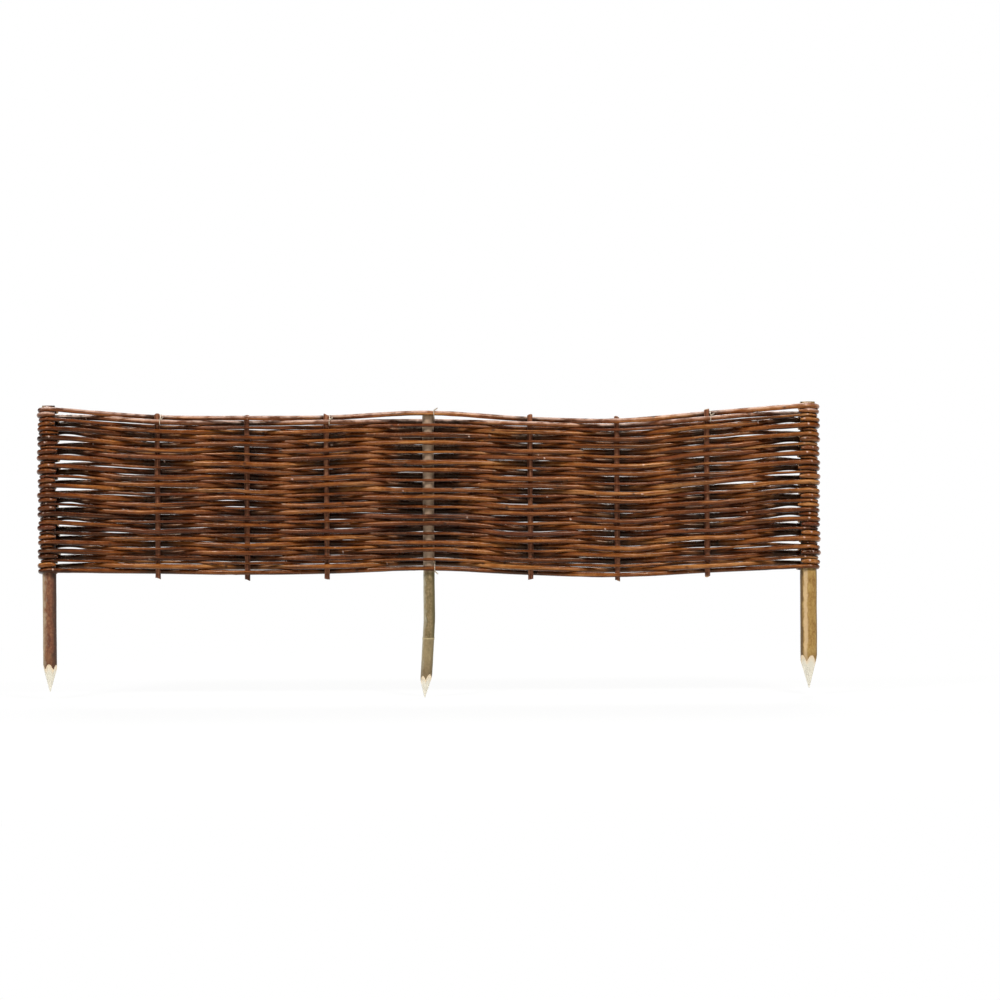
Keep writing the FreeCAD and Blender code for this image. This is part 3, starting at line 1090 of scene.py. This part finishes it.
def rod_bark(name, stops, smoothest):
    """Smooth willow bark: streaks, mottled tone, pale pores, dark grooves and bud scars, pale buds, painted
    shade, painted highlights and painted glints.
    """
    shader = Shader(name)
    space = shader.vector("rod_space")
    streaks = shader.noise(space, ROD_STREAKS, 4.0, 0.6)
    mottle = shader.noise(space, ROD_MOTTLE, 3.0)
    fine = shader.noise(space, ROD_CRACKS, 2.0)
    place = shader.math("ADD", shader.value("tone"), shader.span(streaks, 0.25, 0.75, -0.42, 0.42))
    place = shader.math("ADD", place, shader.span(mottle, 0.25, 0.75, -0.16, 0.16))
    tint = shader.ramp(place, stops)
    mauve = shader.span(shader.value("mauve"), 0.0, 1.0, 0.0, 0.6)
    tint = shader.mix(mauve, tint, colour(98, 47, 31))
    pores = shader.span(shader.cells(space, ROD_PORES), 0.1, 0.2, 0.35, 0.0)
    tint = shader.mix(pores, tint, colour(172, 120, 68))
    cracks = shader.span(fine, 0.3, 0.42, 0.55, 0.0)
    tint = shader.mix(cracks, tint, colour(40, 18, 6))
    grooves = shader.span(shader.noise(space, ROD_GROOVES, 2.0), 0.37, 0.45, 0.72, 0.0)
    tint = shader.mix(grooves, tint, colour(38, 14, 4))
    scar = shader.span(shader.value("scar"), 0.15, 0.7, 0.0, 0.8)
    tint = shader.mix(scar, tint, colour(46, 27, 19))
    # Painted shade in the recesses and in the grooves between rods.
    painted_shade = shader.span(shader.value("inner"), 0.0, 1.0, 0.0, 0.85)
    tint = shader.mix(painted_shade, tint, colour(24, 7, 1))
    # Painted highlights along the top edge of the weave and outside the turns.
    painted_highlight_share = shader.math("MULTIPLY", shader.value("painted_highlight"), shader.span(mottle, 0.38, 0.6, 0.1, 0.85))
    tint = shader.mix(painted_highlight_share, tint, colour(222, 188, 170))
    # Pale buds, and painted glints on the turns.
    marks = shader.span(shader.value("pale_buds_and_painted_glints"), 0.25, 0.7, 0.0, 0.85)
    tint = shader.mix(marks, tint, colour(236, 204, 186))
    roughness = shader.span(mottle, 0.3, 0.7, smoothest, smoothest + 0.14)
    shader.bump(shader.math("ADD", streaks, shader.math("MULTIPLY", fine, 0.5)), 0.35, 0.0005)
    shader.surface.inputs["Specular Tint"].default_value = WARM_SHEEN
    return shader.finish(tint, roughness, 0.4)


def cut_wood(name, space_name, pale, warm):
    """Cut willow wood with fine grain, warmer near the bark of a stake."""
    shader = Shader(name)
    space = shader.vector(space_name)
    grain = shader.noise(space, WOOD_GRAIN, 2.0)
    broad = shader.noise(space, WOOD_TONES, 2.0)
    tint = shader.mix(shader.span(grain, 0.35, 0.7, 0.0, 0.3), pale, warm)
    tint = shader.mix(shader.span(broad, 0.4, 0.7, 0.0, 0.45), tint, warm)
    if space_name == "stake_space":
        near_bark = shader.span(shader.value("rim"), 0.0, RIM_WIDTH, 0.75, 0.0)
        tint = shader.mix(near_bark, tint, colour(238, 206, 162))
    shader.bump(grain, 0.04, 0.0003)
    return shader.finish(tint, shader.span(broad, 0.3, 0.7, 0.55, 0.7), 0.35)


def bark_and_painted_side_bands(shader, tint, angle, bands):
    """Long bands of another tone down one side of a stake; some of them are painted side light and shade."""
    for tone, centre, half_width, fading, share in bands:
        aside = shader.math("ABSOLUTE", shader.math("SUBTRACT", angle, math.radians(centre)), 0.0)
        edge = math.radians(half_width)
        tint = shader.mix(shader.span(aside, edge, edge + math.radians(fading), share, 0.0), tint, tone)
    return tint


def bud_ring(shader, tint, height):
    """A pale line at the bud ring, and warmer bark below it."""
    below = shader.span(height, RING_HEIGHT - RING_WIDTH, RING_HEIGHT, 0.4, 0.0)
    tint = shader.mix(below, tint, colour(170, 150, 112))
    away = shader.math("ABSOLUTE", shader.math("SUBTRACT", height, RING_HEIGHT), 0.0)
    return shader.mix(shader.span(away, *RING_LINE, 0.8, 0.0), tint, colour(196, 178, 134))


def stake_bark(name, node, stops, wobble, bands, head, head_share):
    """Bark of a stake: mottled, with fine upright lines, long bands of another tone, some of them painted side
    light and shade, and another tone in the weave, which on the end stakes is painted shade.
    """
    shader = Shader(name)
    space = shader.vector("stake_space")
    lines = shader.noise(space, STAKE_LINES, 5.0, 0.65)
    mottle = shader.noise(space, STAKE_MOTTLE, 3.0)
    flecks = shader.cells(space, STAKE_FLECKS)
    speckles = shader.noise(space, STAKE_SPECKLES, 3.0, 0.6)
    place = shader.span(lines, 0.25, 0.75, 0.0, 0.25)
    place = shader.math("ADD", place, shader.span(mottle, 0.25, 0.75, 0.0, 0.5))
    place = shader.math("ADD", place, shader.span(speckles, 0.25, 0.75, -0.1, 0.4))
    tint = shader.ramp(place, stops)
    parts = shader.node("SeparateXYZ", {0: space})
    angle = shader.math("ARCTAN2", parts.outputs["X"], shader.math("MULTIPLY", parts.outputs["Y"], -1.0))
    angle = shader.math("ADD", angle, shader.span(mottle, 0.3, 0.7, -wobble, wobble))
    tint = bark_and_painted_side_bands(shader, tint, angle, bands)
    tint = shader.mix(shader.span(flecks, 0.12, 0.24, 0.3, 0.0), tint, stops[0][1])
    height = parts.outputs["Z"]
    if node == "middle_stake":
        tint = bud_ring(shader, tint, height)
    foot, top = (corner[2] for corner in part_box(node))
    near_point = shader.span(height, foot + POINT_STAIN[0], foot + POINT_STAIN[1], 0.45, 0.0)
    tint = shader.mix(near_point, tint, colour(84, 54, 26))
    # Another tone within the weave; on the end stakes it is dark, which is painted shade.
    inside = shader.span(height, HEAD_START, HEAD_START + HEAD_LENGTH, 0.0, head_share)
    below_end = shader.span(height, top - HEAD_END[0], top - HEAD_END[1], 1.0, 0.0)
    tint = shader.mix(shader.math("MULTIPLY", inside, below_end), tint, head)
    shader.bump(shader.math("ADD", lines, shader.math("MULTIPLY", mottle, 0.6)), 0.55, 0.0008)
    return shader.finish(tint, shader.span(lines, 0.3, 0.7, 0.45, 0.7), 0.4)


def tie_wire():
    """Galvanised wire with dull patches."""
    shader = Shader("tie_wire_zinc")
    patches = shader.noise(shader.vector("wire_space"), WIRE_PATCHES, 3.0)
    dull = shader.span(patches, 0.35, 0.65, 0.0, 1.0)
    tint = shader.mix(dull, colour(226, 212, 190), colour(180, 164, 140))
    shader.surface.inputs["Metallic"].default_value = 0.4
    shader.bump(patches, 0.2, 0.0002)
    return shader.finish(tint, shader.span(patches, 0.3, 0.7, 0.32, 0.5), 0.5)


# Studio.
def white_to_camera(name):
    """A pale surface that the camera sees as white, and that still takes a soft shadow."""
    shader = Shader(name)
    shader.surface.inputs["Base Color"].default_value = colour(240, 240, 238)
    shader.surface.inputs["Roughness"].default_value = 0.9
    glow = shader.node("Emission", {"Color": WHITE})
    path = shader.node("LightPath")
    seen = shader.math("MAXIMUM", path.outputs["Is Camera Ray"], path.outputs["Is Glossy Ray"])
    seen = shader.math("MAXIMUM", seen, path.outputs["Is Transmission Ray"])
    place = shader.node("NewGeometry").outputs["Position"]
    away = shader.node("VectorMath", {0: place}, operation="LENGTH").outputs["Value"]
    share = shader.math("MULTIPLY", seen, shader.span(away, *SHADOW_REACH, *FLOOR_GLOW))
    blend = shader.node("MixShader", {0: share, 1: shader.surface.outputs[0], 2: glow.outputs[0]})
    shader.put(shader.tree.nodes["Material Output"].inputs["Surface"], blend.outputs[0])
    return shader.material


def make_floor():
    """A wide plain floor under the tips of the stakes."""
    size = FLOOR_REACH
    height = cad_box[0][2]
    corners = [(-size, -size, height), (size, -size, height), (size, size, height), (-size, size, height)]
    mesh = bpy.data.meshes.new("floor")
    mesh.from_pydata(corners, [], [(0, 1, 2, 3)])
    mesh.materials.append(white_to_camera("studio_white"))
    floor = bpy.data.objects.new("floor", mesh)
    bpy.context.scene.collection.objects.link(floor)


def make_world():
    """Soft grey light from all around, seen as white."""
    world = bpy.data.worlds.new("studio")
    bpy.context.scene.world = world
    world.use_nodes = True
    tree = world.node_tree
    light = tree.nodes["Background"]
    light.inputs["Color"].default_value = WHITE
    light.inputs["Strength"].default_value = WORLD_STRENGTH
    seen = tree.nodes.new("ShaderNodeBackground")
    seen.inputs["Color"].default_value = WHITE
    path = tree.nodes.new("ShaderNodeLightPath")
    blend = tree.nodes.new("ShaderNodeMixShader")
    tree.links.new(path.outputs["Is Camera Ray"], blend.inputs[0])
    tree.links.new(light.outputs[0], blend.inputs[1])
    tree.links.new(seen.outputs[0], blend.inputs[2])
    tree.links.new(blend.outputs[0], tree.nodes["World Output"].inputs["Surface"])


def make_lamp(name, azimuth, elevation, size, power):
    """A square soft box that looks at the middle of the panel."""
    turn, rise = math.radians(azimuth), math.radians(elevation)
    away = Vector((math.sin(turn) * math.cos(rise), -math.cos(turn) * math.cos(rise), math.sin(rise)))
    lamp = bpy.data.lights.new(name, "AREA")
    lamp.shape = "SQUARE"
    lamp.size = size
    lamp.energy = power
    holder = bpy.data.objects.new(name, lamp)
    holder.location = Vector(LAMP_TARGET) + away * LAMP_DISTANCE
    holder.rotation_euler = (-away).to_track_quat("-Z", "Y").to_euler()
    bpy.context.scene.collection.objects.link(holder)


def make_camera():
    """Straight in front of the panel, at the photograph's scale, framing and small roll."""
    half = IMAGE_SIZE / 2.0
    x = (half - GROUND_LINE_PIXEL[0]) * METRES_PER_PIXEL
    z = (GROUND_LINE_PIXEL[1] - half) * METRES_PER_PIXEL
    camera = bpy.data.cameras.new("camera")
    camera.sensor_width = SENSOR_WIDTH
    camera.lens = SENSOR_WIDTH * CAMERA_DISTANCE / (IMAGE_SIZE * METRES_PER_PIXEL)
    holder = bpy.data.objects.new("camera", camera)
    holder.location = (x, -CAMERA_DISTANCE, z)
    holder.rotation_euler = (math.pi / 2.0, CAMERA_ROLL, 0.0)
    bpy.context.scene.collection.objects.link(holder)
    bpy.context.scene.camera = holder


# Barks, cuts and wire of the hurdle.
weaver_material = rod_bark("willow_rod_bark", WEAVER_STOPS, WEAVER_ROUGHNESS)
sail_material = rod_bark("willow_sail_bark", SAIL_STOPS, SAIL_ROUGHNESS)
rod_cut = cut_wood("willow_rod_cut", "rod_space", colour(176, 140, 100), colour(138, 98, 64))
stake_cut = cut_wood("willow_stake_cut", "stake_space", colour(236, 230, 213), colour(225, 215, 191))
stake_top = cut_wood("willow_stake_top", "stake_space", colour(196, 166, 120), colour(164, 128, 86))

# Bark of a stake: tones, wobble of its bands, the bands, and tone and strength within the weave.
# A band has a tone, a direction in degrees from the front, half a width, a fading and a strength.
left_bark = stake_bark(
    "left_stake_bark_painted_sides", "left_stake",
    [(0.2, colour(88, 46, 29)), (0.5, colour(121, 73, 47)), (0.9, colour(154, 109, 71))], 0.35,
    # The pale band on the left side is painted side light, and the dark band on the right side is painted
    # shade.
    [(colour(196, 174, 142), -70.0, 22.0, 32.0, 0.75), (colour(58, 38, 26), 78.0, 24.0, 34.0, 0.85)],
    # The dark tone within the weave is painted shade.
    colour(44, 26, 16), 0.85)
middle_bark = stake_bark(
    "middle_stake_bark_grey", "middle_stake",
    [(0.2, colour(91, 78, 44)), (0.5, colour(125, 106, 69)), (0.9, colour(158, 138, 101))], 0.3,
    # The pale band on the left side is painted side light, and the dark band on the right side is painted
    # shade.
    [(colour(188, 180, 156), -72.0, 20.0, 24.0, 0.75), (colour(84, 78, 38), 70.0, 18.0, 26.0, 0.75)],
    colour(192, 160, 134), 0.75)
right_bark = stake_bark(
    "right_stake_bark_ochre", "right_stake",
    [(0.2, colour(138, 98, 40)), (0.5, colour(168, 130, 66)), (0.9, colour(190, 158, 92))], 0.12,
    # The last band, dark on the right side, is painted shade.
    [(colour(226, 194, 150), -29.0, 8.0, 10.0, 0.65), (colour(92, 70, 44), -78.0, 22.0, 12.0, 0.85),
     (colour(104, 78, 40), 86.0, 18.0, 12.0, 0.8)],
    # The dark tone within the weave is painted shade.
    colour(44, 26, 16), 0.85)
wire_material = tie_wire()

# The hurdle.
rods = read_rods()
lower_edge, upper_edge = rods[0], rods[-1]
settle(rods)
for rod in rods:
    make_rod(rod, weaver_material, rod_cut)
for number, node in enumerate(sail_nodes):
    make_sail(node, number, sail_material, rod_cut)
make_stake("left_stake", left_axis, 1.0, 0.0, [left_bark, stake_cut, stake_top])
make_stake("middle_stake", MIDDLE_AXIS, 2.0, RING_SWELLING, [middle_bark, stake_cut, stake_top])
make_stake("right_stake", right_axis, 3.0, 0.0, [right_bark, stake_cut, stake_top])
make_ties(rods, wire_material)

# The studio.
make_floor()
make_world()
for lamp_row in LAMPS:
    make_lamp(*lamp_row)
make_camera()
bpy.context.scene.view_settings.view_transform = "Standard"
